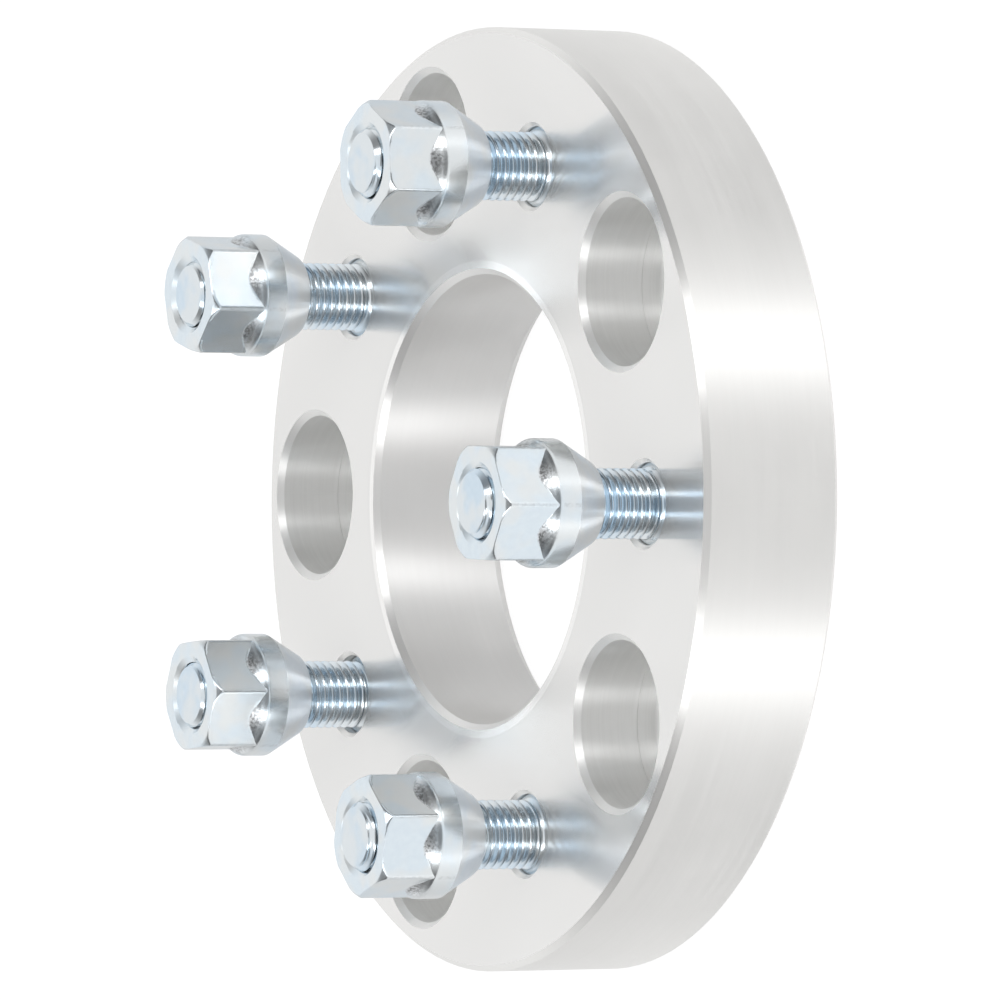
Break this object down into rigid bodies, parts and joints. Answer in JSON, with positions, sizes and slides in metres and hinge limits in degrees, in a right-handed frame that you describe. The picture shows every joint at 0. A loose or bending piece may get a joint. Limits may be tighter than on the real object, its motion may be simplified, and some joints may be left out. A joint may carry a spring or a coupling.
{
  "type": "wheel spacer",
  "caption": "Thick round spacer ring with deep socket wells and conical seats that bolts to a hub, and threaded studs that carry the wheel, each with a parked conical-seat nut.",
  "frame": {"origin": "centre of the ring's back face, the face that lies against the car's hub", "axes": "+Z along the ring's axis, from the hub side to the wheel side, in the direction the studs point; +X from the axis through wheel_stud_1"},
  "size_m": [0.164, 0.164, 0.0581],
  "materials": {
    "ring": "fine turned, satin",
    "studs": "clear zinc plated, bright",
    "nuts": "clear zinc plated, bright"
  },
  "bodies": {
    "root": {"spacer_plate": "ring", "wheel_stud_1": "studs", "wheel_stud_2": "studs", "wheel_stud_3": "studs", "wheel_stud_4": "studs", "wheel_stud_5": "studs", "lug_nut_1": "nuts", "lug_nut_2": "nuts", "lug_nut_3": "nuts", "lug_nut_4": "nuts", "lug_nut_5": "nuts"}
  },
  "joints": []
}
